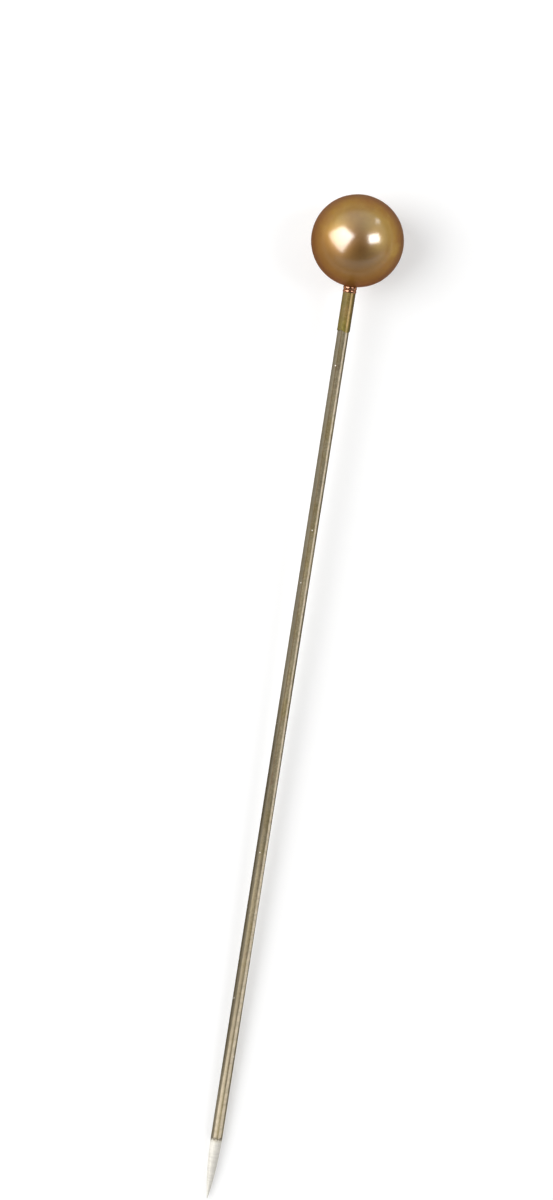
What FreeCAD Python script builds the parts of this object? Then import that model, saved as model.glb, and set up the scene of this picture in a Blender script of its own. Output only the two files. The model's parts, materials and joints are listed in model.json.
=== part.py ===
"""Pearl-headed straight pin, lying on a table as it comes to rest.

A moulded ball is glued on the blunt end of a drawn steel wire that is ground to a point. Gold
lacquer covers the ball and ran a little way down the wire.

Each piece is drawn along the pin's own axis: X = 0 at the crown of the ball, +X towards the
point, all in millimetres. The lying frame then sets the whole pin down on z = 0.
"""
import FreeCAD, Part
import os

import Sketcher

SIZES = {
    # the ball
    "head_diameter": 6.0,
    "crown_wall": 1.4,
    "mouth_bevel": 0.04,
    "bore_offset": 0.26,
    # the wire
    "wire_diameter": 0.75,
    "exposed_length": 60.0,
    "point_length": 4.0,
    "tip_radius": 0.03,
    "cut_end_bevel": 0.1,
    # the glue between them
    "glue_gap": 0.05,
    "glue_bed": 0.2,
    "collar_height": 0.4,
    "collar_flare": 0.12,
    # the lacquer on the wire
    "film_length": 2.5,
    "film_thickness": 0.045,
}

# Recurring lengths of the pin, worked out from the sizes.
HEAD_R = "Sizes.head_diameter / 2"
WIRE_R = "Sizes.wire_diameter / 2"
POLE = "Sizes.head_diameter"
BORE_R = f"({WIRE_R} + Sizes.glue_gap)"
SEAT_END = "(Sizes.crown_wall + Sizes.glue_bed)"
TIP = f"({POLE} + Sizes.exposed_length)"
SHOULDER = f"({TIP} - Sizes.point_length)"
COLLAR_R = f"({WIRE_R} + Sizes.film_thickness + Sizes.collar_flare)"
COLLAR_END = f"({POLE} + Sizes.collar_height)"
FILM_END = f"({COLLAR_END} + Sizes.film_length)"

# The point's flank is an arc that starts along the wire and ends on the rounded tip.
FLANK_RUN = "(Sizes.point_length - Sizes.tip_radius)"
FLANK_R = (
    f"(({FLANK_RUN} ^ 2 + ({WIRE_R}) ^ 2 - Sizes.tip_radius ^ 2)"
    f" / (2 * ({WIRE_R} - Sizes.tip_radius)))"
)


def size_sheet(doc):
    """Spreadsheet with the driving sizes, one alias a row."""
    sheet = doc.addObject("Spreadsheet::Sheet", "Sizes")
    for row, (alias, value) in enumerate(SIZES.items(), start=1):
        sheet.set(f"A{row}", alias)
        sheet.set(f"B{row}", str(value))
        sheet.setAlias(f"B{row}", alias)
    doc.recompute()
    return sheet


def lying_frame(doc):
    """Coordinate system that lays the pin down: ball and point on z = 0, x = 0 halfway along.

    The wire is the heavy part and sits beside the ball's centre, so the pin rolls until the
    wire is on the low side. The floor then touches the ball and the arc of the point's flank.
    The line that touches both circles from below leans by the sum of two angles, that of the
    line through their centres and that of the difference of their radii over it.
    """
    rise = f"({FLANK_R} - {WIRE_R} - Sizes.bore_offset)"
    run = f"({SHOULDER} - {HEAD_R})"
    lean = f"(atan({rise} / {run}) + asin(({HEAD_R} - {FLANK_R}) / sqrt({run} ^ 2 + {rise} ^ 2)))"
    both_centres = f"({HEAD_R} + {TIP} - Sizes.tip_radius)"

    frame = doc.addObject("Part::LocalCoordinateSystem", "lying")
    frame.Placement = FreeCAD.Placement(
        FreeCAD.Vector(), FreeCAD.Rotation(FreeCAD.Vector(0, 1, 0), 1)
    )
    frame.setExpression("Placement.Rotation.Angle", lean)
    frame.setExpression("Placement.Base.x", (
        f"({HEAD_R} - Sizes.tip_radius - Sizes.bore_offset * sin({lean})"
        f" - {both_centres} * cos({lean})) / 2"
    ))
    frame.setExpression("Placement.Base.z", (
        f"{HEAD_R} + {HEAD_R} * sin({lean}) - Sizes.bore_offset * cos({lean})"
    ))
    doc.recompute()
    return frame


def new_body(doc, label):
    """Body of one piece, set down by the lying frame."""
    body = doc.addObject("PartDesign::Body", label)
    body.Label = label
    body.setExpression("Placement", "lying.Placement")
    return body


def profile_sketch(body, name):
    """Empty sketch on the body's XZ plane: across it the pin's axis, up it the radius."""
    plane = next(face for face in body.Origin.OriginFeatures if face.Role == "XZ_Plane")
    sketch = body.newObject("Sketcher::SketchObject", name)
    sketch.AttachmentSupport = (plane, [""])
    sketch.MapMode = "FlatFace"
    return sketch


def dimension(sketch, name, constraint, expression):
    """Adds a dimension and ties it to the sizes."""
    value = float(sketch.evalExpression(expression))
    index = sketch.addConstraint(Sketcher.Constraint(*constraint, value))
    sketch.renameConstraint(index, name)
    sketch.setExpression(f"Constraints.{name}", expression)


def point_at(sketch, corner):
    """Sketch point from two expressions, along the axis and off it."""
    along, off = (float(sketch.evalExpression(part)) for part in corner)
    return FreeCAD.Vector(along, off, 0)


def draw_polygon(sketch, corners, closed=True):
    """Straight edges through named corners, each corner dimensioned from the crown."""
    names = list(corners)
    ends = names[1:] + names[:1] if closed else names[1:]
    for start, end in zip(names, ends):
        sketch.addGeometry(
            Part.LineSegment(point_at(sketch, corners[start]), point_at(sketch, corners[end])), False
        )
    edges = len(ends)
    for edge in range(edges if closed else edges - 1):
        sketch.addConstraint(Sketcher.Constraint("Coincident", edge, 2, (edge + 1) % edges, 1))
    for index, name in enumerate(names):
        edge, end = (index, 1) if index < edges else (index - 1, 2)
        along, off = corners[name]
        dimension(sketch, f"{name}_along", ("DistanceX", -1, 1, edge, end), along)
        if off == "0":
            sketch.addConstraint(Sketcher.Constraint("PointOnObject", edge, end, -1))
        else:
            dimension(sketch, f"{name}_off", ("DistanceY", -1, 1, edge, end), off)


def revolve(body, kind, name, sketch):
    """Full turn of a sketch about the pin's axis, added or taken away."""
    feature = body.newObject(kind, name)
    feature.Profile = sketch
    feature.ReferenceAxis = (sketch, ["H_Axis"])
    feature.Angle = 360
    sketch.Visibility = False
    return feature


def pearl_head(doc):
    """Moulded ball with a blind bore a little below its centre and a bevelled mouth."""
    body = new_body(doc, "pearl_head")
    ball = body.newObject("PartDesign::AdditiveSphere", "Ball")
    ball.setExpression("Radius", HEAD_R)
    ball.setExpression("Placement.Base.x", HEAD_R)
    ball.setExpression("Placement.Base.z", "Sizes.bore_offset")

    bevel_off = f"{BORE_R} + Sizes.mouth_bevel"
    clear = f"{POLE} + Sizes.glue_bed"
    sketch = profile_sketch(body, "BoreProfile")
    draw_polygon(sketch, {
        "closed_end": ("Sizes.crown_wall", "0"),
        "closed_edge": ("Sizes.crown_wall", BORE_R),
        "bevel_start": (f"{POLE} - Sizes.mouth_bevel", BORE_R),
        "bevel_end": (POLE, bevel_off),
        "outside_edge": (clear, bevel_off),
        "outside": (clear, "0"),
    })
    revolve(body, "PartDesign::Groove", "Bore", sketch)
    return body


def draw_shank(sketch):
    """Half outline of the wire: cut end, straight run, curved flank, rounded tip."""
    corners = {
        "seat_end": (SEAT_END, "0"),
        "seat_edge": (SEAT_END, f"{WIRE_R} - Sizes.cut_end_bevel"),
        "wire_start": (f"{SEAT_END} + Sizes.cut_end_bevel", WIRE_R),
        "shoulder": (SHOULDER, WIRE_R),
    }
    draw_polygon(sketch, corners, closed=False)
    cut_end, run, flank, nose, axis = 0, 2, 3, 4, 5

    shoulder = point_at(sketch, corners["shoulder"])
    tip = point_at(sketch, (TIP, "0"))
    flank_r = float(sketch.evalExpression(FLANK_R))
    tip_r = float(sketch.evalExpression("Sizes.tip_radius"))
    flank_centre = shoulder - FreeCAD.Vector(0, flank_r, 0)
    tip_centre = tip - FreeCAD.Vector(tip_r, 0, 0)
    across = tip_centre - flank_centre
    meet = FreeCAD.Vector(1, 0, 0).getAngle(across)
    upright = FreeCAD.Vector(1, 0, 0).getAngle(shoulder - flank_centre)
    normal = FreeCAD.Vector(0, 0, 1)
    sketch.addGeometry(Part.ArcOfCircle(Part.Circle(flank_centre, normal, flank_r), meet, upright), False)
    sketch.addGeometry(Part.ArcOfCircle(Part.Circle(tip_centre, normal, tip_r), 0, meet), False)
    sketch.addGeometry(Part.LineSegment(tip, point_at(sketch, corners["seat_end"])), False)

    sketch.addConstraint(Sketcher.Constraint("Tangent", run, 2, flank, 2))
    sketch.addConstraint(Sketcher.Constraint("Tangent", flank, 1, nose, 2))
    sketch.addConstraint(Sketcher.Constraint("Coincident", nose, 1, axis, 1))
    sketch.addConstraint(Sketcher.Constraint("Coincident", axis, 2, cut_end, 1))
    sketch.addConstraint(Sketcher.Constraint("PointOnObject", nose, 3, -1))
    sketch.addConstraint(Sketcher.Constraint("PointOnObject", axis, 1, -1))
    dimension(sketch, "tip_round", ("Radius", nose), "Sizes.tip_radius")
    dimension(sketch, "tip_along", ("DistanceX", -1, 1, axis, 1), TIP)


def shank(doc):
    """Drawn wire: its cut end sits in the ball, its other end is ground to a point."""
    body = new_body(doc, "shank")
    sketch = profile_sketch(body, "WireProfile")
    draw_shank(sketch)
    revolve(body, "PartDesign::Revolution", "Wire", sketch)
    return body


def lacquer_film(doc):
    """Thin sleeve of set lacquer on the wire, with an abrupt lower edge."""
    body = new_body(doc, "lacquer_film")
    sketch = profile_sketch(body, "FilmProfile")
    draw_polygon(sketch, {
        "start": (COLLAR_END, WIRE_R),
        "start_skin": (COLLAR_END, f"{WIRE_R} + Sizes.film_thickness"),
        "edge_skin": (FILM_END, f"{WIRE_R} + Sizes.film_thickness"),
        "edge": (FILM_END, WIRE_R),
    })
    revolve(body, "PartDesign::Revolution", "Film", sketch)
    return body


def draw_glue(sketch):
    """Half outline of the glue before ball and wire take their room out of it."""
    ball_sag = f"({HEAD_R} - sqrt(({HEAD_R}) ^ 2 - ({COLLAR_R} + Sizes.bore_offset) ^ 2))"
    flare_end = f"({POLE} - {ball_sag})"
    corners = {
        "foot": (COLLAR_END, f"{WIRE_R} + Sizes.film_thickness"),
        "foot_inner": (COLLAR_END, "0"),
        "crown_end": ("Sizes.crown_wall / 2", "0"),
        "crown_edge": ("Sizes.crown_wall / 2", COLLAR_R),
        "flare": (flare_end, COLLAR_R),
    }
    draw_polygon(sketch, corners, closed=False)
    last_edge, flare_arc = 3, 4

    foot = point_at(sketch, corners["foot"])
    flare = point_at(sketch, corners["flare"])
    rise, run = flare.y - foot.y, foot.x - flare.x
    radius = (run ** 2 + rise ** 2) / (2 * rise)
    centre = foot + FreeCAD.Vector(0, radius, 0)
    start = -FreeCAD.Vector(1, 0, 0).getAngle(flare - centre)
    end = -FreeCAD.Vector(1, 0, 0).getAngle(foot - centre)
    circle = Part.Circle(centre, FreeCAD.Vector(0, 0, 1), radius)
    sketch.addGeometry(Part.ArcOfCircle(circle, start, end), False)
    sketch.addConstraint(Sketcher.Constraint("Coincident", last_edge, 2, flare_arc, 1))
    sketch.addConstraint(Sketcher.Constraint("Coincident", flare_arc, 2, 0, 1))
    dimension(sketch, "flare_centre", ("DistanceX", -1, 1, flare_arc, 3), COLLAR_END)


def glue_collar(doc, head, wire):
    """Glue that fills the bore round the wire and flares out as a collar below the ball."""
    body = new_body(doc, "glue_blank")
    sketch = profile_sketch(body, "GlueProfile")
    draw_glue(sketch)
    revolve(body, "PartDesign::Revolution", "GlueBlank", sketch)

    around_wire = doc.addObject("Part::Cut", "glue_round_wire")
    around_wire.Base = body
    around_wire.Tool = wire
    glue = doc.addObject("Part::Cut", "glue_collar")
    glue.Label = "glue_collar"
    glue.Base = around_wire
    glue.Tool = head
    return glue


def check(doc, pieces):
    """Stops the build when an object failed or a piece is no single valid solid."""
    failed = [item.Name for item in doc.Objects if {"Invalid", "Error"} & set(item.State)]
    if failed:
        raise RuntimeError(f"failed to build: {', '.join(failed)}")
    for piece in pieces:
        shape = piece.Shape
        if shape.isNull() or not shape.isValid() or len(shape.Solids) != 1:
            raise RuntimeError(f"{piece.Label} is not one valid solid")


def main():
    """Builds the pin and writes one file for each piece."""
    doc = FreeCAD.newDocument("straight_pin")
    size_sheet(doc)
    lying_frame(doc)
    head = pearl_head(doc)
    wire = shank(doc)
    film = lacquer_film(doc)
    doc.recompute()
    glue = glue_collar(doc, head, wire)
    doc.recompute()

    pieces = [head, wire, film, glue]
    check(doc, pieces)
    os.makedirs("parts", exist_ok=True)
    for piece in pieces:
        piece.Shape.exportStep(f"parts/{piece.Label}.step")
        box = piece.Shape.BoundBox
        print(f"{piece.Label}: {piece.Shape.Volume:.4f} mm3, x {box.XMin:.3f} to {box.XMax:.3f},"
              f" y {box.YMin:.3f} to {box.YMax:.3f}, z {box.ZMin:.3f} to {box.ZMax:.3f}")


main()
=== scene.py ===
"""Looks of a pearl-headed straight pin that lies on a pale table, seen from straight above.

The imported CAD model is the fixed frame. Each piece is modelled in the pin's own frame, in
millimetres: X = 0 at the crown of the ball, +X along the wire towards the point. It is then
set into the place that the CAD model gives it and stands for the CAD node of its name.
"""
import json
import logging
import math
from collections.abc import Callable, Iterator, Sequence
from contextlib import contextmanager
from dataclasses import dataclass
from enum import Enum

import bmesh
import bpy
from mathutils import Matrix, Vector


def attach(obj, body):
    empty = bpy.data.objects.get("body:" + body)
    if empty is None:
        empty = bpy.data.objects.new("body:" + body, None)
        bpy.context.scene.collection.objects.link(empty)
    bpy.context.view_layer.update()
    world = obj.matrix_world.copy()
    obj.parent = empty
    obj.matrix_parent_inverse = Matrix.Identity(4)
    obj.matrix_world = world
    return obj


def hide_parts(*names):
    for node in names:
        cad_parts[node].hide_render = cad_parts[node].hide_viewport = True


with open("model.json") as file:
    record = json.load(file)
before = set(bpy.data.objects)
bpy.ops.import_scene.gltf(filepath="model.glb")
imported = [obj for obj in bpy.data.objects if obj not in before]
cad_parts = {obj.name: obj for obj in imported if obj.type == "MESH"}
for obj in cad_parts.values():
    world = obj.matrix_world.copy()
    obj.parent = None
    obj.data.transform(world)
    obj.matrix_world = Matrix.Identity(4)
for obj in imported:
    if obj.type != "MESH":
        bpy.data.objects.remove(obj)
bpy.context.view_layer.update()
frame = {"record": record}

MM = 0.001
WELD = 1e-5
SAME_PLACE = 10 * WELD
NOISE_MIDDLE = 0.5

Paint = tuple[float, float, float, float]
Triple = tuple[float, float, float]
Socket = bpy.types.NodeSocket
Outline = Sequence[tuple[float, float]]

log = logging.getLogger("straight_pin")


def paint(red: int, green: int, blue: int) -> Paint:
    """Turns an 8-bit display colour into the linear one that shaders use.

    Args:
        red: Red from 0 to 255.
        green: Green from 0 to 255.
        blue: Blue from 0 to 255.

    Returns:
        Linear red, green, blue and an alpha of 1.
    """
    linear = []
    for value in (red, green, blue):
        share = value / 255
        linear.append(share / 12.92 if share <= 0.04045 else ((share + 0.055) / 1.055) ** 2.4)
    return (linear[0], linear[1], linear[2], 1.0)


# --- Where the pin lies ---


@dataclass(frozen=True)
class PinFrame:
    """The pin's own frame, as it lies on the table."""

    crown: Vector
    lean: float

    @classmethod
    def from_mount(cls, mount: dict, station: float) -> "PinFrame":
        """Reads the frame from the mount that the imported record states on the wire.

        Args:
            mount: The record's mount, with its place in metres and its axis.
            station: How far from the crown that place is, in millimetres.

        Returns:
            The frame of the lying pin.
        """
        axis = Vector(mount["axis"]).normalized()
        crown = Vector(mount["pos_m"]) - axis * station * MM
        return cls(crown, math.atan2(-axis.z, axis.x))

    def matrix(self) -> Matrix:
        """Matrix from the pin's own millimetres to the row frame's metres."""
        turn = Matrix.Rotation(self.lean, 4, "Y")
        return Matrix.Translation(self.crown) @ turn @ Matrix.Scale(MM, 4)

    def place(self, along: float, above: float = 0.0) -> Vector:
        """Row-frame place of a point of the pin.

        Args:
            along: Distance from the crown along the wire, in millimetres.
            above: Height over the wire's axis, in millimetres.

        Returns:
            The place in metres.
        """
        return self.matrix() @ Vector((along, 0.0, above))


# --- The bench: operators that every piece is shaped with ---


def select_alone(piece: bpy.types.Object) -> None:
    """Selects one piece alone and makes it the active one.

    Args:
        piece: The object.
    """
    bpy.ops.object.select_all(action="DESELECT")
    piece.select_set(True)
    bpy.context.view_layer.objects.active = piece


@contextmanager
def editing(piece: bpy.types.Object) -> Iterator[None]:
    """Puts one piece alone into edit mode for the length of a with block.

    Args:
        piece: The mesh object to shape.
    """
    select_alone(piece)
    bpy.ops.object.mode_set(mode="EDIT")
    bpy.ops.mesh.select_mode(type="VERT")
    try:
        yield
    finally:
        bpy.ops.object.mode_set(mode="OBJECT")


def pick(piece: bpy.types.Object, test: Callable[[Vector], bool]) -> int:
    """Selects the vertices whose place passes a test, and no others. Works in edit mode.

    Args:
        piece: The mesh object in edit mode.
        test: Says of a place whether it is picked.

    Returns:
        How many vertices are selected.
    """
    mesh = bmesh.from_edit_mesh(piece.data)
    for vertex in mesh.verts:
        vertex.select_set(test(vertex.co))
    mesh.select_flush_mode()
    bmesh.update_edit_mesh(piece.data)
    return sum(vertex.select for vertex in mesh.verts)


def close_up() -> None:
    """Merges doubled vertices of the mesh in edit mode and turns its faces outwards."""
    bpy.ops.mesh.select_all(action="SELECT")
    bpy.ops.mesh.remove_doubles(threshold=WELD)
    bpy.ops.mesh.normals_make_consistent(inside=False)


def newest(name: str) -> bpy.types.Object:
    """Names the primitive that was just added and puts its place into its mesh.

    Args:
        name: The piece's name.

    Returns:
        The new object.
    """
    piece = bpy.context.active_object
    piece.name = piece.data.name = name
    bpy.ops.object.transform_apply(location=True, rotation=True, scale=True)
    return piece


def turn(name: str, outline: Outline, steps: int) -> bpy.types.Object:
    """Turns an outline round the pin's axis, as on a lathe.

    Args:
        name: The piece's name.
        outline: Corners as distance along the axis and distance from it, in millimetres.
        steps: How many facets the full turn has.

    Returns:
        The turned piece, closed and with its faces outwards.
    """
    bpy.ops.mesh.primitive_plane_add(size=1.0)
    piece = newest(name)
    with editing(piece):
        bpy.ops.mesh.select_all(action="SELECT")
        bpy.ops.mesh.merge(type="CENTER")
        bpy.ops.transform.translate(value=(outline[0][0], 0.0, outline[0][1]))
        for (along, off), (next_along, next_off) in zip(outline, outline[1:]):
            move = (next_along - along, 0.0, next_off - off)
            bpy.ops.mesh.extrude_region_move(TRANSFORM_OT_translate={"value": move})
        bpy.ops.mesh.select_all(action="SELECT")
        bpy.ops.mesh.spin(steps=steps, angle=math.tau, center=(0, 0, 0), axis=(1, 0, 0))
        close_up()
    return piece


def arc(centre: tuple[float, float], radius: float, start: float, end: float,
        count: int) -> list[tuple[float, float]]:
    """Corners along an arc of an outline.

    Args:
        centre: The arc's centre, along the axis and off it.
        radius: The arc's radius.
        start: Angle of the first corner in degrees, 0 towards the point and 90 outwards.
        end: Angle of the last corner in degrees.
        count: How many steps the arc has.

    Returns:
        The corners, both ends among them.
    """
    turns = (math.radians(start + (end - start) * step / count) for step in range(count + 1))
    return [(centre[0] + radius * math.cos(a), centre[1] + radius * math.sin(a)) for a in turns]


def ripple(piece: bpy.types.Object, name: str, size: float, height: float) -> None:
    """Gives a surface the slight unevenness of something dipped and dried.

    Args:
        piece: The object to ripple.
        name: Name of the pattern.
        size: Width of a wave in millimetres.
        height: Height of a wave in millimetres.
    """
    pattern = bpy.data.textures.new(name, "CLOUDS")
    pattern.noise_scale = size
    pattern.noise_depth = 1
    waves = piece.modifiers.new(name, "DISPLACE")
    waves.texture = pattern
    waves.texture_coords = "LOCAL"
    waves.mid_level = 0.5
    waves.strength = height
    select_alone(piece)
    bpy.ops.object.modifier_apply(modifier=waves.name)


def set_down(piece: bpy.types.Object, pin: PinFrame, smooth_below: float) -> None:
    """Smooths a finished piece and puts it into its place in the row frame.

    Args:
        piece: The finished piece, in the pin's own frame.
        pin: The lying pin.
        smooth_below: Edges that turn by less than this angle, in degrees, are smooth.
    """
    select_alone(piece)
    bpy.ops.object.shade_smooth_by_angle(angle=math.radians(smooth_below))
    piece.matrix_world = pin.matrix()
    bpy.ops.object.transform_apply(location=True, rotation=True, scale=True)


# --- Shaders ---


@dataclass(frozen=True)
class Fade:
    """A smooth change of one number, from a first to a last value, over a range of another."""

    start: float
    end: float
    first: float = 0.0
    last: float = 1.0


class Shader:
    """A node tree with short calls to place its nodes and join them."""

    def __init__(self, tree: bpy.types.NodeTree) -> None:
        """Takes hold of a tree.

        Args:
            tree: The node tree to fill.
        """
        self.tree = tree

    def feed(self, node: bpy.types.Node, wires: dict) -> None:
        """Sets inputs of a node or joins something to them.

        Args:
            node: The node.
            wires: Value or source socket of each input, by name or number.
        """
        for key, value in wires.items():
            if isinstance(value, Socket):
                self.tree.links.new(value, node.inputs[key])
            else:
                node.inputs[key].default_value = value

    def add(self, kind: str, wires: dict | None = None, **settings: object) -> bpy.types.Node:
        """Places a node.

        Args:
            kind: The node's type, without the word ShaderNode.
            wires: Value or source socket of each input, by name or number.
            **settings: The node's own properties.

        Returns:
            The new node.
        """
        node = self.tree.nodes.new("ShaderNode" + kind)
        for name, value in settings.items():
            setattr(node, name, value)
        self.feed(node, wires or {})
        return node

    def noise(self, wires: dict) -> Socket:
        """Places a noise pattern.

        Args:
            wires: Value or source socket of each of its inputs.

        Returns:
            The noise, around 0.5.
        """
        return self.add("TexNoise", wires).outputs[0]

    def math(self, operation: str, first: object, second: object = 0.0) -> Socket:
        """Joins two numbers by an operation.

        Args:
            operation: The Math node's operation.
            first: Value or socket.
            second: Value or socket.

        Returns:
            The result.
        """
        return self.add("Math", {0: first, 1: second}, operation=operation).outputs[0]

    def product(self, *factors: object) -> Socket:
        """Multiplies numbers.

        Args:
            *factors: Two or more values or sockets.

        Returns:
            Their product.
        """
        result = factors[0]
        for factor in factors[1:]:
            result = self.math("MULTIPLY", result, factor)
        return result

    def vector(self, operation: str, first: object, second: object) -> Socket:
        """Joins two vectors by an operation.

        Args:
            operation: The Vector Math node's operation.
            first: Vector or socket.
            second: Vector or socket.

        Returns:
            The result, which is a number for a distance or a dot product.
        """
        node = self.add("VectorMath", {0: first, 1: second}, operation=operation)
        return node.outputs["Value" if operation in ("DISTANCE", "DOT_PRODUCT") else "Vector"]

    def brighten(self, colour: object, factor: object) -> Socket:
        """Scales a colour.

        Args:
            colour: Colour or socket.
            factor: Value or socket.

        Returns:
            The scaled colour.
        """
        return self.add("VectorMath", {0: colour, "Scale": factor}, operation="SCALE").outputs[0]

    def blend(self, share: object, first: object, second: object) -> Socket:
        """Mixes two colours.

        Args:
            share: How much of the second, as a value or socket.
            first: Colour or socket.
            second: Colour or socket.

        Returns:
            The mixed colour.
        """
        node = self.add("Mix", data_type="RGBA")
        for key, value in (("Factor", share), ("A", first), ("B", second)):
            wanted = "VALUE" if key == "Factor" else "RGBA"
            socket = next(s for s in node.inputs if s.name == key and s.type == wanted)
            if isinstance(value, Socket):
                self.tree.links.new(value, socket)
            else:
                socket.default_value = value
        return next(s for s in node.outputs if s.type == "RGBA")

    def fade(self, value: object, fade: Fade) -> Socket:
        """Lets a number fade.

        Args:
            value: Value or socket that the fade goes by.
            fade: The range and the values at its ends.

        Returns:
            The faded number.
        """
        return self.add("MapRange", {
            "Value": value, "From Min": fade.start, "From Max": fade.end,
            "To Min": fade.first, "To Max": fade.last,
        }, interpolation_type="SMOOTHSTEP").outputs["Result"]

    def relief(self, height: Socket, depth: float) -> Socket:
        """Turns a height into a normal.

        Args:
            height: The height, from 0 to 1.
            depth: How deep a height of 1 is, in millimetres.

        Returns:
            The normal.
        """
        bump = self.add("Bump", {"Height": height, "Strength": 1.0, "Distance": depth * MM})
        return bump.outputs[0]


class Effect(Enum):
    """Effects that more than one finish uses, each a node group."""

    MOTTLE = "mottle"
    STREAKS = "streaks"
    DIE_LINE = "wire_line"
    GRAIN = "grain"

    def begin(self, inputs: dict[str, float | None]) -> tuple[Shader, dict, bpy.types.Node]:
        """Makes the effect's empty node group with named sockets.

        Args:
            inputs: Names of the inputs, with the usual value of a number, None for a vector.

        Returns:
            The group's shader, its inner input sockets by name, and its output node, which
            takes the effect as Mask.
        """
        tree = bpy.data.node_groups.new(self.value, "ShaderNodeTree")
        for name, value in inputs.items():
            kind = "NodeSocketVector" if value is None else "NodeSocketFloat"
            socket = tree.interface.new_socket(name, in_out="INPUT", socket_type=kind)
            if value is not None:
                socket.default_value = value
        tree.interface.new_socket("Mask", in_out="OUTPUT", socket_type="NodeSocketFloat")
        entry = tree.nodes.new("NodeGroupInput")
        leave = tree.nodes.new("NodeGroupOutput")
        return Shader(tree), {name: entry.outputs[name] for name in inputs}, leave


def build_mottle() -> None:
    """Builds the patches with soft edges, from Low to High of a noise."""
    shader, given, leave = Effect.MOTTLE.begin(
        {"Vector": None, "Scale": 1.0, "Low": 0.4, "High": 0.6})
    clouds = shader.noise({
        "Vector": given["Vector"], "Scale": given["Scale"], "Detail": 3.0, "Roughness": 0.55,
        "Distortion": 0.3})
    patches = shader.add("MapRange", {
        "Value": clouds, "From Min": given["Low"], "From Max": given["High"],
    }, interpolation_type="SMOOTHSTEP")
    shader.feed(leave, {"Mask": patches.outputs["Result"]})


def build_streaks() -> None:
    """Builds the noise that is drawn out along the wire."""
    shader, given, leave = Effect.STREAKS.begin({"Vector": None, "Along": 0.5, "Across": 12.0})
    stretch = shader.add("CombineXYZ", {0: given["Along"], 1: given["Across"], 2: given["Across"]})
    pulled = shader.vector("MULTIPLY", given["Vector"], stretch.outputs[0])
    streaks = shader.noise({"Vector": pulled, "Scale": 1.0, "Detail": 4.0, "Roughness": 0.6})
    shader.feed(leave, {"Mask": streaks})


def build_wire_line() -> None:
    """Builds a line along the upper side of the wire, which wanders and is broken up in places. It
    masks the painted highlight lines and the dark line.
    """
    line_edge = Fade(0.5, 1.35, 1.0, 0.0)
    breaks = Fade(0.3, 0.62, 0.55, 1.0)
    breaks_start = (31.0, 0.0, 0.0)
    shader, given, leave = Effect.DIE_LINE.begin(
        {"Vector": None, "Radius": 0.375, "Centre": 0.5, "Half Width": 0.1, "Wander": 0.1})
    place = shader.add("SeparateXYZ", {0: given["Vector"]}).outputs
    along = shader.add("CombineXYZ", {0: place[0]}).outputs[0]
    wander = shader.noise({"Vector": along, "Scale": 1.1, "Detail": 5.0, "Roughness": 0.65})
    shift = shader.product(shader.math("SUBTRACT", wander, NOISE_MIDDLE), given["Wander"])
    across = shader.math("ADD", shader.math("DIVIDE", place[1], given["Radius"]), shift)
    off = shader.math("ABSOLUTE", shader.math("SUBTRACT", across, given["Centre"]))
    line = shader.fade(shader.math("DIVIDE", off, given["Half Width"]), line_edge)
    broken = shader.noise({
        "Vector": shader.vector("ADD", along, breaks_start), "Scale": 2.3, "Detail": 6.0,
        "Roughness": 0.7})
    above = shader.math("GREATER_THAN", place[2], 0.0)
    shader.feed(leave, {"Mask": shader.product(line, shader.fade(broken, breaks), above)})


def build_grain() -> None:
    """Builds the fine grain."""
    contrast = Fade(0.36, 0.64)
    shader, given, leave = Effect.GRAIN.begin({"Vector": None, "Scale": 12.0})
    grain = shader.noise({
        "Vector": given["Vector"], "Scale": given["Scale"], "Detail": 3.0, "Roughness": 0.7})
    shader.feed(leave, {"Mask": shader.fade(grain, contrast)})


def build_effects() -> None:
    """Builds the node group of every shared effect once."""
    for build in (build_mottle, build_streaks, build_wire_line, build_grain):
        build()


class Coat(Shader):
    """The node tree of one material, with its Principled node and places in the pin's frame."""

    def __init__(self, material: bpy.types.Material, pin: PinFrame) -> None:
        """Takes hold of a material.

        Args:
            material: The material, with its first nodes.
            pin: The lying pin.
        """
        super().__init__(material.node_tree)
        self.surface = self.tree.nodes["Principled BSDF"]
        self.place = self.add("Mapping", {
            "Vector": self.add("TexCoord").outputs["Object"], "Location": pin.crown,
            "Rotation": (0.0, pin.lean, 0.0), "Scale": (MM, MM, MM),
        }, vector_type="TEXTURE").outputs[0]

    def pattern(self, effect: Effect, move: Triple = (0.0, 0.0, 0.0), **wires: object) -> Socket:
        """Places a shared effect on the pin's places.

        Args:
            effect: Which one.
            move: How far its places are moved, to show another part of the pattern.
            **wires: Value or source socket of each other input, _ for a space in its name.

        Returns:
            The effect.
        """
        place = self.vector("ADD", self.place, move) if any(move) else self.place
        named = {name.replace("_", " "): value for name, value in wires.items()}
        group = bpy.data.node_groups[effect.value]
        return self.add("Group", {"Vector": place, **named}, node_tree=group).outputs[0]


@dataclass(frozen=True)
class Finish:
    """What every finish has: a name, the pin's frame and a material around one shader."""

    pin: PinFrame
    name: str = "finish"

    def lay_on(self, coat: Coat) -> None:
        """Fills the material's nodes.

        Args:
            coat: The material's node tree.
        """
        raise NotImplementedError

    def build(self) -> bpy.types.Material:
        """Builds the material.

        Returns:
            The finished material.
        """
        material = bpy.data.materials.new(self.name)
        material.use_nodes = True
        self.lay_on(Coat(material, self.pin))
        return material


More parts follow.
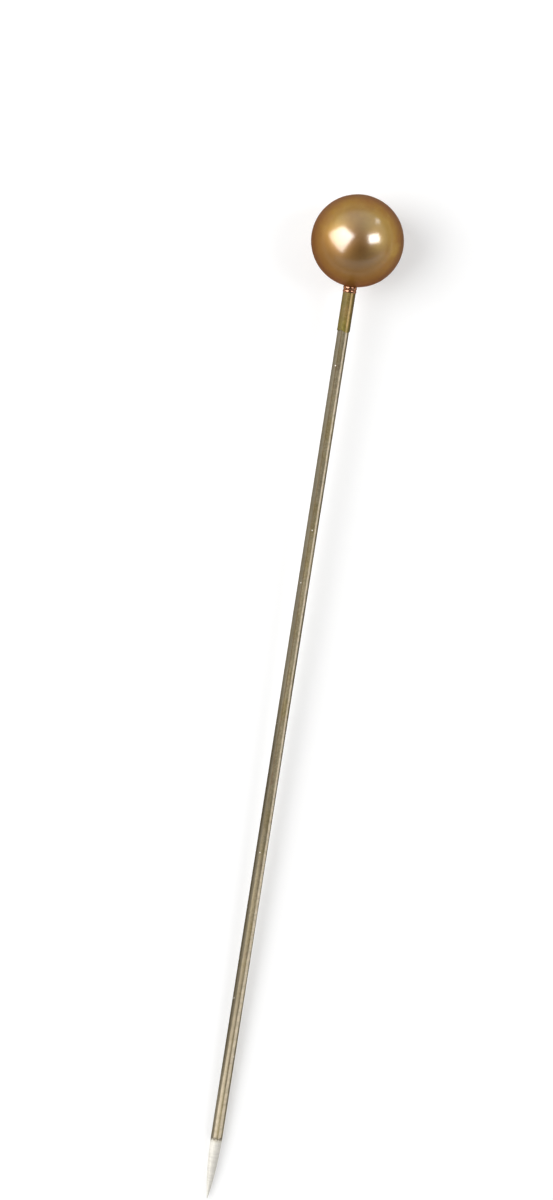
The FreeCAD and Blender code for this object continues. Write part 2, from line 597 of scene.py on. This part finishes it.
@dataclass(frozen=True)
class PearlLacquer(Finish):
    """Gold-bronze pearl lacquer: a metallic flake coat under a hard clear gloss.

    The lacquer is browner where it has drained towards the left of the neck; that browning is
    partly painted shade. Its side towards the table is browner too, which is painted shade, and it
    has pooled at the neck. A darker amber patch on top is a painted dark reflection.
    """

    name: str = "pearl_lacquer"
    gold: Paint = paint(187, 149, 60)
    bronze: Paint = paint(178, 133, 46)
    # amber colours a painted dark reflection: a darker patch on top of the ball.
    amber: Paint = paint(142, 94, 38)
    blush: Paint = paint(168, 100, 60)
    pale: Paint = paint(193, 164, 84)
    # drained: browner lacquer towards the neck, bent to the left, where it is also painted shade.
    drained_and_shade: Paint = paint(158, 113, 51)
    # low: painted shade on the ball's side towards the table.
    low: Paint = paint(140, 99, 50)
    neck: Paint = paint(176, 122, 76)
    edge: Paint = paint(108, 74, 42)
    # Place and reach of the amber patch on top, a painted dark reflection.
    painted_dark_reflection_place: Triple = (3.35, 0.05, 3.2)
    painted_dark_reflection_reach: Fade = Fade(0.3, 1.7, 0.8, 0.0)
    # The drained colour runs towards the neck and to the left; on that side it is partly painted
    # shade.
    drain_and_shade_way: Triple = (1.0, -0.55, 0.0)
    drain_and_shade_reach: Fade = Fade(2.5, 4.9, 0.0, 0.9)
    # Reach of the painted shade towards the table, by height over the wire's axis.
    low_reach: Fade = Fade(1.1, 2.85, 0.75, 0.0)
    low_waves: float = 0.25
    neck_place: Triple = (6.0, 0.0, 0.0)
    neck_reach: Fade = Fade(0.4, 2.2, 0.7, 0.0)
    sparkle: Fade = Fade(0.35, 0.65, 0.94, 1.06)
    roughness: Fade = Fade(0.3, 0.7, 0.46, 0.53)
    gloss: Fade = Fade(-0.05, 0.43, 1.0, 0.1)
    gloss_lost: float = 0.5
    pale_share: float = 0.5
    blush_share: float = 0.4
    relief_depth: float = 0.002

    def lay_on(self, coat: Coat) -> None:
        """Fills the material's nodes.

        Args:
            coat: The material's node tree.
        """
        patches = coat.pattern(Effect.MOTTLE, Scale=0.42, Low=0.38, High=0.62)
        blushes = coat.pattern(Effect.MOTTLE, (7.0, 3.0, 5.0), Scale=0.5, Low=0.46, High=0.8)
        clouds = coat.pattern(Effect.MOTTLE, (1.0, 6.0, 2.0), Scale=0.75, Low=0.54, High=0.74)
        flakes = coat.noise({"Vector": coat.place, "Scale": 22.0, "Detail": 2.0})
        # Painted dark reflection: a darker amber patch on top of the ball.
        painted_dark_reflection = coat.fade(coat.vector("DISTANCE", coat.place, self.painted_dark_reflection_place), self.painted_dark_reflection_reach)
        # Drained lacquer towards the neck, partly painted shade on the left; it also takes some
        # gloss.
        drained_and_shade = coat.fade(
            coat.vector("DOT_PRODUCT", coat.place, self.drain_and_shade_way), self.drain_and_shade_reach)
        pooled = coat.fade(coat.vector("DISTANCE", coat.place, self.neck_place), self.neck_reach)
        # Painted shade: the ball darkens towards the table, with a wavy edge.
        height = coat.add("SeparateXYZ", {0: coat.place}).outputs[2]
        waves = coat.product(coat.math("SUBTRACT", clouds, patches), self.low_waves)
        low = coat.fade(coat.math("ADD", height, waves), self.low_reach)

        colour = coat.blend(patches, self.gold, self.bronze)
        colour = coat.blend(coat.product(clouds, self.pale_share), colour, self.pale)
        colour = coat.blend(coat.product(blushes, self.blush_share), colour, self.blush)
        for share, tone in ((painted_dark_reflection, self.amber), (drained_and_shade, self.drained_and_shade), (low, self.low),
                            (pooled, self.neck)):
            colour = coat.blend(share, colour, tone)

        facing = coat.add("LayerWeight", {"Blend": 0.5}).outputs["Facing"]
        kept = coat.math("SUBTRACT", 1.0, coat.product(drained_and_shade, self.gloss_lost))
        coat.feed(coat.surface, {
            "Base Color": coat.brighten(colour, coat.fade(flakes, self.sparkle)),
            "Roughness": coat.fade(flakes, self.roughness), "Metallic": 0.95,
            "Specular IOR Level": 0.2, "Specular Tint": self.edge,
            "Coat Weight": coat.product(coat.fade(facing, self.gloss), kept),
            "Coat Roughness": 0.2, "Coat IOR": 3.2,
            "Normal": coat.relief(flakes, self.relief_depth)})


@dataclass(frozen=True)
class PlatedWire(Finish):
    """Drawn and plated steel, with draw lines, faint tarnish and a few bright nicks.

    Fades along the wire go by the distance from the crown in millimetres. Fades across it go by
    the share of the radius, -1 on the left side and 1 on the right with the ball at the top.
    """

    name: str = "plated_wire"
    plating: Paint = paint(160, 149, 122)
    tarnish: Paint = paint(149, 135, 93)
    # Painted shade: darker plating on the wire's left side.
    painted_left_shade: Paint = paint(124, 117, 102)
    # A dark line left of the middle of the upper wire, fading out towards the point.
    dark_line: Paint = paint(108, 88, 62)
    rust: Paint = paint(128, 98, 82)
    nick: Paint = paint(236, 230, 220)
    # Painted highlight: the bright line right of the middle of the wire.
    painted_highlight: Paint = paint(242, 230, 207)
    # Painted highlight: a second bright line on the lower wire.
    painted_second_highlight: Paint = paint(182, 168, 143)
    # Painted shade along both edges of the wire, stronger on the left over the lower wire.
    painted_edge_shade: Paint = paint(74, 64, 46)
    edge: Paint = paint(34, 29, 18)
    ground: Paint = paint(233, 230, 221)
    burr: Paint = paint(98, 90, 76)
    radius: float = 0.375
    shoulder: float = 62.0
    tarnish_share: float = 0.6
    rust_share: float = 0.5
    drawn: Fade = Fade(0.3, 0.7, 0.84, 1.12)
    grainy: Fade = Fade(0.0, 1.0, 0.86, 1.12)
    banded: Fade = Fade(0.41, 0.59, 0.83, 1.15)
    # Painted light: the plating grows brighter towards the point.
    painted_light_at_point: Fade = Fade(38.0, 58.0, 1.0, 1.25)
    painted_left_shade_across: Fade = Fade(-0.2, -0.5, 0.0, 0.75)
    dark_line_along: Fade = Fade(36.0, 48.0, 0.6, 0.0)
    right_painted_edge_shade: Fade = Fade(0.62, 1.0, 0.0, 0.45)
    left_painted_edge_shade: Fade = Fade(-0.35, -0.85)
    left_painted_edge_shade_starts: Fade = Fade(28.0, 38.0, 0.0, 0.6)
    left_painted_edge_shade_ends: Fade = Fade(54.0, 61.0, 1.0, 0.1)
    painted_edge_shade_above: Fade = Fade(-0.1, 0.06)
    painted_second_highlight_starts: Fade = Fade(34.0, 57.0, 0.0, 0.95)
    painted_second_highlight_place: Fade = Fade(50.0, 61.0, -0.08, -0.3)
    painted_second_highlight_whitening: Fade = Fade(50.0, 61.0, 0.0, 0.55)
    painted_highlight_outwards: Fade = Fade(30.0, 42.0, 0.585, 0.69)
    painted_highlight_inwards: Fade = Fade(46.0, 58.0, 0.0, 0.18)
    painted_highlight_width: Fade = Fade(30.0, 56.0, 0.15, 0.25)
    shoulder_waves: float = 0.12
    ground_reach: Fade = Fade(61.9, 62.3)
    ground_marks: Fade = Fade(0.3, 0.7, 0.9, 1.05)
    burr_reach: Fade = Fade(0.0, 0.11, 0.7, 0.0)
    roughness: Fade = Fade(0.25, 0.75, 0.64, 0.8)
    metallic: Fade = Fade(0.0, 1.0, 1.0, 0.45)
    nick_size: float = 0.12
    nick_share: float = 0.12
    relief_depth: float = 0.004

    def plate(self, coat: Coat, along: Socket, lines: Socket, grain: Socket) -> Socket:
        """Mixes the plating with its tarnish, its draw lines and its grain, and brightens it
        towards the point as painted light.

        Args:
            coat: The material's node tree.
            along: Distance from the crown.
            lines: The draw lines.
            grain: The grain.

        Returns:
            The plating's colour.
        """
        tarnish = coat.pattern(Effect.MOTTLE, Scale=0.55, Low=0.45, High=0.65)
        rust = coat.pattern(Effect.MOTTLE, (3.0, 9.0, 1.0), Scale=1.3, Low=0.58, High=0.74)
        bands = coat.pattern(Effect.STREAKS, Along=0.14, Across=3.4)
        colour = coat.blend(coat.product(tarnish, self.tarnish_share), self.plating, self.tarnish)
        colour = coat.blend(coat.product(rust, self.rust_share), colour, self.rust)
        return coat.brighten(colour, coat.product(
            coat.fade(lines, self.drawn), coat.fade(grain, self.grainy),
            coat.fade(bands, self.banded), coat.fade(along, self.painted_light_at_point)))

    def paint_shade_and_dark_line(self, coat: Coat, colour: Socket, parts: Sequence[Socket]) -> Socket:
        """Lays painted shade on the left side, a dark line left of the middle and painted shade
        along the wire's edges.

        Args:
            coat: The material's node tree.
            colour: The plating's colour.
            parts: Distance from the crown, share of the radius across, height over the axis.

        Returns:
            The new colour.
        """
        along, across, height = parts
        # Painted shade on the left side of the wire.
        colour = coat.blend(coat.fade(across, self.painted_left_shade_across), colour, self.painted_left_shade)
        # A dark line left of the middle, along the upper wire.
        dark_line = coat.pattern(Effect.DIE_LINE, (47.0, 0.0, 0.0), Radius=self.radius, Wander=0.35,
                            Centre=-0.24, Half_Width=0.13)
        colour = coat.blend(
            coat.product(dark_line, coat.fade(along, self.dark_line_along)), colour, self.dark_line)
        # Painted shade along the edges, stronger and wider on the left between about 28 and 61 mm.
        left = coat.product(
            coat.fade(across, self.left_painted_edge_shade), coat.fade(along, self.left_painted_edge_shade_starts),
            coat.fade(along, self.left_painted_edge_shade_ends))
        sides = coat.math("MAXIMUM", coat.fade(across, self.right_painted_edge_shade), left)
        painted_edge_shade = coat.product(sides, coat.fade(height, self.painted_edge_shade_above))
        return coat.blend(painted_edge_shade, colour, self.painted_edge_shade)

    def paint_highlights_and_nicks(self, coat: Coat, colour: Socket, along: Socket) -> Socket:
        """Paints two highlight lines along the wire and lays a few bright nicks into it.

        Args:
            coat: The material's node tree.
            colour: The wire's colour.
            along: Distance from the crown.

        Returns:
            The new colour.
        """
        # Painted highlight: a second bright line near the middle of the lower wire, whiter towards
        # the point.
        painted_second_highlight = coat.pattern(
            Effect.DIE_LINE, (13.0, 0.0, 0.0), Radius=self.radius, Wander=0.2,
            Centre=coat.fade(along, self.painted_second_highlight_place), Half_Width=0.26)
        tone = coat.blend(coat.fade(along, self.painted_second_highlight_whitening), self.painted_second_highlight, self.painted_highlight)
        colour = coat.blend(
            coat.product(painted_second_highlight, coat.fade(along, self.painted_second_highlight_starts)), colour, tone)
        # Painted highlight: a bright line right of the middle, which shifts along the wire.
        painted_highlight_place = coat.math("SUBTRACT", coat.fade(along, self.painted_highlight_outwards),
                                coat.fade(along, self.painted_highlight_inwards))
        painted_highlight = coat.pattern(Effect.DIE_LINE, Radius=self.radius, Wander=0.2, Centre=painted_highlight_place,
                             Half_Width=coat.fade(along, self.painted_highlight_width))
        colour = coat.blend(painted_highlight, colour, self.painted_highlight)
        cells = coat.add("TexVoronoi", {"Vector": coat.place, "Scale": 2.6}).outputs
        draw = coat.add("SeparateXYZ", {0: cells["Color"]}).outputs[0]
        nicks = coat.product(coat.math("LESS_THAN", cells["Distance"], self.nick_size),
                             coat.math("LESS_THAN", draw, self.nick_share))
        return coat.blend(nicks, colour, self.nick)

    def lay_on(self, coat: Coat) -> None:
        """Fills the material's nodes.

        Args:
            coat: The material's node tree.
        """
        along, off_side, height = coat.add("SeparateXYZ", {0: coat.place}).outputs
        across = coat.math("DIVIDE", off_side, self.radius)
        lines = coat.pattern(Effect.STREAKS, Along=0.35, Across=14.0)
        grain = coat.pattern(Effect.GRAIN, Scale=7.0)
        colour = self.plate(coat, along, lines, grain)
        colour = self.paint_shade_and_dark_line(coat, colour, (along, across, height))
        colour = self.paint_highlights_and_nicks(coat, colour, along)

        waves = coat.product(coat.math("SUBTRACT", grain, NOISE_MIDDLE), self.shoulder_waves)
        uneven_along = coat.math("ADD", along, waves)
        ground = coat.fade(uneven_along, self.ground_reach)
        marks = coat.pattern(Effect.STREAKS, Along=9.0, Across=1.2)
        scored = coat.brighten(self.ground[:3], coat.fade(marks, self.ground_marks))
        colour = coat.blend(ground, colour, scored)
        off_shoulder = coat.math("ABSOLUTE", coat.math("SUBTRACT", uneven_along, self.shoulder))
        colour = coat.blend(coat.fade(off_shoulder, self.burr_reach), colour, self.burr)
        coat.feed(coat.surface, {
            "Base Color": colour, "Roughness": coat.fade(lines, self.roughness),
            "Metallic": coat.fade(ground, self.metallic), "Specular Tint": self.edge,
            "Normal": coat.relief(lines, self.relief_depth)})


@dataclass(frozen=True)
class GoldFilm(Finish):
    """The thin gold lacquer that ran down the wire, olive where the steel shows through.

    Its fades go along and across the wire as those of the plating do.
    """

    name: str = "gold_film"
    olive: Paint = paint(147, 129, 75)
    amber: Paint = paint(154, 130, 81)
    moss: Paint = paint(144, 134, 63)
    # Painted shade: a darker tone on the film's left side.
    painted_left_shade: Paint = paint(116, 104, 62)
    # Painted highlight: a bright line right of the middle of the film.
    painted_highlight: Paint = paint(222, 194, 136)
    # Painted shade along the film's right edge.
    painted_edge_shade: Paint = paint(72, 58, 32)
    edge: Paint = paint(50, 38, 16)
    radius: float = 0.42
    thick_end: Fade = Fade(7.4, 8.7, 0.0, 0.75)
    drawn: Fade = Fade(0.3, 0.7, 0.84, 1.08)
    grainy: Fade = Fade(0.0, 1.0, 0.84, 1.1)
    painted_left_shade_across: Fade = Fade(-0.2, -0.5, 0.0, 0.6)
    right_painted_edge_shade: Fade = Fade(0.52, 1.0, 0.0, 0.6)
    painted_edge_shade_above: Fade = Fade(-0.1, 0.06)
    roughness: Fade = Fade(0.3, 0.7, 0.66, 0.78)
    relief_depth: float = 0.004

    def lay_on(self, coat: Coat) -> None:
        """Fills the material's nodes.

        Args:
            coat: The material's node tree.
        """
        patches = coat.pattern(Effect.MOTTLE, Scale=1.1, Low=0.42, High=0.58)
        lines = coat.pattern(Effect.STREAKS, Along=0.8, Across=9.0)
        grain = coat.pattern(Effect.GRAIN, Scale=4.5)
        along, off_side, height = coat.add("SeparateXYZ", {0: coat.place}).outputs
        across = coat.math("DIVIDE", off_side, self.radius)
        colour = coat.blend(patches, self.olive, self.amber)
        colour = coat.blend(coat.fade(along, self.thick_end), colour, self.moss)
        colour = coat.brighten(colour, coat.product(
            coat.fade(lines, self.drawn), coat.fade(grain, self.grainy)))
        # Painted shade on the film's left side.
        colour = coat.blend(coat.fade(across, self.painted_left_shade_across), colour, self.painted_left_shade)
        # Painted shade along the film's right edge.
        painted_edge_shade = coat.product(
            coat.fade(across, self.right_painted_edge_shade), coat.fade(height, self.painted_edge_shade_above))
        colour = coat.blend(painted_edge_shade, colour, self.painted_edge_shade)
        # Painted highlight line right of the middle of the film.
        painted_highlight = coat.pattern(Effect.DIE_LINE, Radius=self.radius, Centre=0.46, Half_Width=0.15,
                             Wander=0.22)
        coat.feed(coat.surface, {
            "Base Color": coat.blend(painted_highlight, colour, self.painted_highlight),
            "Roughness": coat.fade(lines, self.roughness), "Metallic": 0.9,
            "Specular Tint": self.edge, "Coat Weight": 0.15, "Coat Roughness": 0.2,
            "Normal": coat.relief(lines, self.relief_depth)})


@dataclass(frozen=True)
class CopperBead(Finish):
    """Set glue under lacquer, coppery and very glossy."""

    name: str = "copper_bead"
    copper: Paint = paint(156, 100, 60)
    dark: Paint = paint(92, 54, 28)
    edge: Paint = paint(60, 34, 18)
    dark_share: float = 0.7
    roughness: Fade = Fade(0.0, 1.0, 0.14, 0.24)
    gloss: Fade = Fade(0.1, 0.5, 1.0, 0.1)

    def lay_on(self, coat: Coat) -> None:
        """Fills the material's nodes.

        Args:
            coat: The material's node tree.
        """
        patches = coat.pattern(Effect.MOTTLE, Scale=2.4, Low=0.5, High=0.7)
        facing = coat.add("LayerWeight", {"Blend": 0.5}).outputs["Facing"]
        coat.feed(coat.surface, {
            "Base Color": coat.blend(
                coat.product(patches, self.dark_share), self.copper, self.dark),
            "Roughness": coat.fade(patches, self.roughness), "Metallic": 0.85,
            "Specular Tint": self.edge, "Coat Weight": coat.fade(facing, self.gloss),
            "Coat Roughness": 0.12, "Coat IOR": 1.8})


# --- The pin's pieces ---


@dataclass
class Piece:
    """One physical piece of the pin."""

    pin: PinFrame
    node: str = "piece"
    slot: str = "slot"
    finish: type[Finish] = Finish
    smooth_below: float = 40.0

    def model(self) -> bpy.types.Object:
        """Models the piece in the pin's own frame."""
        raise NotImplementedError

    def build(self) -> bpy.types.Object:
        """Models the piece, sets it down, dresses it and lets it stand for its CAD node.

        Returns:
            The finished object.
        """
        piece = self.model()
        set_down(piece, self.pin, self.smooth_below)
        piece.data.materials.append(self.finish(self.pin).build())
        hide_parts(self.node)
        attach(piece, "root")
        log.info("%s: %d faces", piece.name, len(piece.data.polygons))
        return piece


@dataclass
class PearlHead(Piece):
    """The lacquered ball, with a blind bore a little below its centre."""

    node: str = "pearl_head"
    slot: str = "pearl_lacquer"
    finish: type[Finish] = PearlLacquer
    radius: float = 3.0
    above_wire: float = 0.26
    bore_radius: float = 0.425
    mouth_bevel: float = 0.04
    bore_end: float = 1.4
    segments: int = 128
    rings: int = 96
    wave: float = 1.6
    wave_height: float = 0.012

    def model(self) -> bpy.types.Object:
        """Models the ball from a sphere whose pole lies where the wire goes in.

        Returns:
            The ball with its bore.
        """
        pole_tilt = math.asin(self.above_wire / self.radius)
        centre = Vector((self.radius, 0.0, self.above_wire))
        pole = Vector((math.cos(pole_tilt), 0.0, -math.sin(pole_tilt)))
        mouth_radius = self.bore_radius + self.mouth_bevel
        mouth_depth = math.sqrt(self.radius ** 2 - mouth_radius ** 2)

        bpy.ops.mesh.primitive_uv_sphere_add(
            segments=self.segments, ring_count=self.rings, radius=self.radius,
            location=centre, rotation=(0.0, math.pi / 2 + pole_tilt, 0.0))
        piece = newest("ball")
        ripple(piece, "lacquer_waves", self.wave, self.wave_height)
        mouth = centre + pole * mouth_depth
        with editing(piece):
            bpy.ops.mesh.select_all(action="SELECT")
            bpy.ops.mesh.bisect(plane_co=mouth, plane_no=pole, clear_outer=True, threshold=WELD)
            pick(piece, lambda place: abs((place - mouth).dot(pole)) < SAME_PLACE)
            inwards = (-self.mouth_bevel, 0.0, 0.0)
            bpy.ops.mesh.extrude_region_move(TRANSFORM_OT_translate={"value": inwards})
            narrower = self.bore_radius / mouth_radius
            bpy.ops.transform.resize(value=(1.0, narrower, narrower), center_override=mouth)
            down_the_bore = (self.bore_end - mouth.x + self.mouth_bevel, 0.0, 0.0)
            bpy.ops.mesh.extrude_region_move(TRANSFORM_OT_translate={"value": down_the_bore})
            bpy.ops.mesh.edge_face_add()
            close_up()
        return piece


@dataclass
class Shank(Piece):
    """The wire, with a cut end in the ball and a ground point."""

    node: str = "shank"
    slot: str = "plated_wire"
    finish: type[Finish] = PlatedWire
    radius: float = 0.375
    cut_end: float = 1.6
    cut_bevel: float = 0.1
    tip: float = 66.0
    point_length: float = 4.0
    tip_radius: float = 0.03
    stations: int = 40
    flank_steps: int = 14
    nose_steps: int = 4
    facets: int = 64

    def outline(self) -> Outline:
        """Draws half an outline of the wire, from its cut end to its point.

        Returns:
            The outline's corners.
        """
        shoulder = self.tip - self.point_length
        start = self.cut_end + self.cut_bevel
        run = [
            (start + (shoulder - start) * step / self.stations, self.radius)
            for step in range(self.stations + 1)
        ]
        flank_run = self.point_length - self.tip_radius
        flank_radius = (flank_run ** 2 + self.radius ** 2 - self.tip_radius ** 2) / (
            2 * (self.radius - self.tip_radius))
        meet = math.degrees(math.atan2(flank_radius - self.radius, flank_run))
        flank = arc((shoulder, self.radius - flank_radius), flank_radius, 90.0, meet,
                    self.flank_steps)
        nose = arc((self.tip - self.tip_radius, 0.0), self.tip_radius, meet, 0.0, self.nose_steps)
        cut = [(self.cut_end, 0.0), (self.cut_end, self.radius - self.cut_bevel)]
        return cut + run + flank[1:] + nose[1:]

    def model(self) -> bpy.types.Object:
        """Turns the wire."""
        return turn("wire", self.outline(), self.facets)


@dataclass
class GlueCollar(Piece):
    """Glue in the bore that stands out of it as two small stacked beads."""

    node: str = "glue_collar"
    slot: str = "glue"
    finish: type[Finish] = CopperBead
    wire_radius: float = 0.375
    bore_radius: float = 0.425
    bore_end: float = 1.4
    cut_end: float = 1.6
    mouth: float = 5.86
    end: float = 6.4
    film_radius: float = 0.42
    upper_bead: tuple[float, float] = (6.06, 0.45)
    lower_bead: tuple[float, float] = (6.29, 0.442)
    bead_round: float = 0.2
    bead_turn: float = 33.0
    bead_steps: int = 8
    facets: int = 64

    def outline(self) -> Outline:
        """Draws half an outline of the filled bore and the two beads below the ball.

        Returns:
            The outline's corners.
        """
        beads = []
        for along, crest in (self.upper_bead, self.lower_bead):
            beads += arc((along, crest - self.bead_round), self.bead_round,
                         90.0 + self.bead_turn, 90.0 - self.bead_turn, self.bead_steps)
        return [
            (self.bore_end, 0.0),
            (self.bore_end, self.bore_radius),
            (self.mouth, self.bore_radius),
            *beads,
            (self.end, self.film_radius),
            (self.end, self.wire_radius),
            (self.cut_end, self.wire_radius),
            (self.cut_end, 0.0),
        ]

    def model(self) -> bpy.types.Object:
        """Turns the collar."""
        return turn("collar", self.outline(), self.facets)


@dataclass
class LacquerFilm(Piece):
    """Sleeve of set lacquer on the wire, its lower edge pulled into short tongues.

    A tongue is an angle round the wire, how far it is pulled and how wide it is. Its root is the
    part of the edge whose direction has at least this cosine with the tongue's.
    """

    node: str = "lacquer_film"
    slot: str = "gold_film"
    finish: type[Finish] = GoldFilm
    wire_radius: float = 0.375
    radius: float = 0.42
    start: float = 6.4
    end: float = 8.9
    stations: int = 30
    facets: int = 64
    tongues: Sequence[Triple] = (
        (60.0, 0.07, 0.35), (112.0, -0.05, 0.3), (150.0, 0.05, 0.2), (250.0, 0.12, 0.3))
    tongue_root: float = 0.995

    def outline(self) -> Outline:
        """Draws a closed half outline of the sleeve.

        Returns:
            The outline's corners.
        """
        bevel = (self.radius - self.wire_radius) / 2
        length = self.end - bevel - self.start
        stations = [self.start + length * step / self.stations for step in range(self.stations + 1)]
        outside = [(along, self.radius) for along in stations]
        rim = [(self.end, self.radius - bevel), (self.end, self.wire_radius)]
        inside = [(along, self.wire_radius) for along in reversed(stations)]
        return outside + rim + inside + outside[:1]

    def model(self) -> bpy.types.Object:
        """Turns the sleeve and pulls its lower edge about.

        Returns:
            The sleeve.
        """
        piece = turn("film", self.outline(), self.facets)
        with editing(piece):
            for angle, pull, width in self.tongues:
                turned = math.radians(angle)
                across = Vector((0.0, math.cos(turned), math.sin(turned)))
                picked = pick(
                    piece, lambda place: place.x > self.end - SAME_PLACE and
                    Vector((0.0, place.y, place.z)).normalized().dot(across) > self.tongue_root)
                log.debug("tongue at %.0f degrees: %d vertices", angle, picked)
                bpy.ops.transform.translate(
                    value=(pull, 0.0, 0.0), use_proportional_edit=True,
                    proportional_edit_falloff="SMOOTH", proportional_size=width)
            close_up()
        return piece


# --- The studio ---


@dataclass(frozen=True)
class PhotoCamera:
    """Long lens straight above the pin, turned so that the ball is at the top right."""

    pin: PinFrame
    frame_width: float = 553.0
    frame_height: float = 1200.0
    ball: tuple[float, float] = (357.5, 240.8)
    ball_along: float = 3.0
    ball_above: float = 0.26
    tilt: float = 8.92
    pixels_per_mm: float = 15.49
    lens: float = 135.0
    sensor: float = 36.0
    nearest: float = 0.05
    furthest: float = 100.0

    def right(self) -> Vector:
        """Direction in the row frame that points right in the picture."""
        turned = math.radians(self.tilt)
        return Vector((-math.sin(turned), math.cos(turned), 0.0))

    def up(self) -> Vector:
        """Direction in the row frame that points up in the picture."""
        turned = math.radians(self.tilt)
        return Vector((-math.cos(turned), -math.sin(turned), 0.0))

    def direction(self, right: float, up: float, towards: float) -> Vector:
        """Turns a direction of the picture into one of the row frame.

        Args:
            right: Its part to the right.
            up: Its part upwards.
            towards: Its part towards the camera.

        Returns:
            The unit direction in the row frame.
        """
        mixed = self.right() * right + self.up() * up + Vector((0.0, 0.0, towards))
        return mixed.normalized()

    def build(self) -> bpy.types.Object:
        """Places the camera and makes it the scene's.

        Returns:
            The camera.
        """
        ball = self.pin.place(self.ball_along, self.ball_above)
        off_right = (self.ball[0] - self.frame_width / 2) / self.pixels_per_mm * MM
        off_up = (self.frame_height / 2 - self.ball[1]) / self.pixels_per_mm * MM
        distance = self.lens / self.sensor * self.frame_height / self.pixels_per_mm * MM
        place = ball - self.right() * off_right - self.up() * off_up + Vector((0, 0, distance))

        data = bpy.data.cameras.new("camera")
        data.lens = self.lens
        data.sensor_width = self.sensor
        data.clip_start = distance * self.nearest
        data.clip_end = distance * self.furthest
        camera = bpy.data.objects.new("camera", data)
        bpy.context.scene.collection.objects.link(camera)
        columns = (self.right(), self.up(), Vector((0.0, 0.0, 1.0)))
        turned = Matrix([[column[row] for column in columns] for row in range(3)])
        camera.matrix_world = Matrix.Translation(place) @ turned.to_4x4()
        bpy.context.scene.camera = camera
        return camera


@dataclass(frozen=True)
class SoftBox:
    """One soft lamp, named by the direction in the picture that it shines from."""

    name: str
    towards: Triple
    width: float
    height: float
    radiance: float
    roll: float = 45.0
    swing: float = 0.0
    distance: float = 0.5

    def build(self, camera: PhotoCamera, target: Vector) -> bpy.types.Object:
        """Hangs the lamp.

        Args:
            camera: Gives the picture's directions.
            target: What the lamp is aimed at.

        Returns:
            The lamp object.
        """
        data = bpy.data.lights.new(self.name, "AREA")
        data.shape = "RECTANGLE"
        data.size = self.width
        data.size_y = self.height
        data.energy = self.radiance * math.pi * self.width * self.height
        lamp = bpy.data.objects.new(self.name, data)
        bpy.context.scene.collection.objects.link(lamp)
        back = camera.direction(*self.towards)
        aim = (-back).to_track_quat("-Z", "Y").to_matrix().to_4x4()
        swing = Matrix.Rotation(math.radians(self.swing), 4, "Y")
        roll = Matrix.Rotation(math.radians(self.roll), 4, "Z")
        lamp.matrix_world = Matrix.Translation(target + back * self.distance) @ aim @ swing @ roll
        return lamp


@dataclass(frozen=True)
class Studio:
    """Pale table, soft lamps and a soft room.

    The room is dim in one direction, grows bright away from it, and its walls are darker below
    the horizon's height.
    """

    camera: PhotoCamera
    pin: PinFrame
    table_size: float = 3.0
    table_grey: float = 0.62
    lift: float = 0.4
    dim: float = 0.04
    bright: float = 0.86
    walls: float = 0.42
    dim_way: Triple = (0.06, -0.42, 0.9)
    bright_from: float = -0.3
    horizon: float = 0.35
    aim_along: float = 12.0
    boxes: Sequence[SoftBox] = (
        SoftBox("lamp_left", (-0.62, 0.212, 0.73), width=0.46, height=0.51, radiance=4.05,
                roll=53.7, swing=44.0),
        SoftBox("lamp_right", (0.66, 0.045, 0.75), width=0.17, height=0.25, radiance=5.4,
                roll=8.0),
        SoftBox("lamp_small", (0.68, 0.65, 0.34), width=0.07, height=0.1, radiance=2.7,
                roll=10.0),
        SoftBox("lamp_low", (0.1, -0.94, 0.33), width=1.6, height=0.28, radiance=0.3,
                roll=-3.0),
    )

    def table(self) -> bpy.types.Object:
        """Lays the table, white to the camera and in reflections, with the pin's shadow.

        Returns:
            The table.
        """
        bpy.ops.mesh.primitive_plane_add(size=self.table_size)
        table = newest("table")
        material = bpy.data.materials.new("table_white")
        material.use_nodes = True
        shader = Shader(material.node_tree)
        surface = material.node_tree.nodes["Principled BSDF"]
        seen = shader.add("LightPath").outputs
        either = shader.math("MAXIMUM", seen["Is Camera Ray"], seen["Is Glossy Ray"])
        either = shader.math("MAXIMUM", either, seen["Is Transmission Ray"])
        shader.feed(surface, {
            "Base Color": (self.table_grey,) * 3 + (1.0,), "Roughness": 0.9,
            "Specular IOR Level": 0.0, "Emission Color": paint(255, 255, 255),
            "Emission Strength": shader.product(either, self.lift)})
        table.data.materials.append(material)
        return table

    def light(self) -> None:
        """Hangs the lamps and lights the room."""
        for box in self.boxes:
            box.build(self.camera, self.pin.place(self.aim_along))
        world = bpy.data.worlds.new("room")
        bpy.context.scene.world = world
        world.use_nodes = True
        shader = Shader(world.node_tree)
        look = shader.add("TexCoord").outputs["Generated"]
        near_dim = shader.vector("DOT_PRODUCT", look, self.camera.direction(*self.dim_way))
        height = shader.add("SeparateXYZ", {0: look}).outputs[2]
        ceiling = shader.add("MapRange", {
            "Value": near_dim, "From Min": self.bright_from, "From Max": 1.0,
            "To Min": self.bright, "To Max": self.dim}).outputs["Result"]
        walls = shader.fade(height, Fade(0.0, self.horizon, self.walls, 1.0))
        shader.feed(world.node_tree.nodes["Background"], {
            "Color": paint(255, 255, 255), "Strength": shader.product(ceiling, walls)})
        log.info("room from %.2f to %.2f, %d lamps", self.dim, self.bright, len(self.boxes))

    def build(self) -> None:
        """Builds table, lamps, room and camera."""
        self.table()
        self.light()
        self.camera.build()
        bpy.context.scene.view_settings.view_transform = "Standard"


def main() -> None:
    """Builds the pin's pieces and the studio round them."""
    logging.basicConfig(level=logging.INFO, format="%(name)s: %(message)s")
    middle_of_bare_wire = 35.45
    pin = PinFrame.from_mount(frame["record"]["mounts"][0], middle_of_bare_wire)
    build_effects()
    for piece in (PearlHead(pin), Shank(pin), GlueCollar(pin), LacquerFilm(pin)):
        piece.build()
    Studio(PhotoCamera(pin), pin).build()


if __name__ == "__main__":
    main()
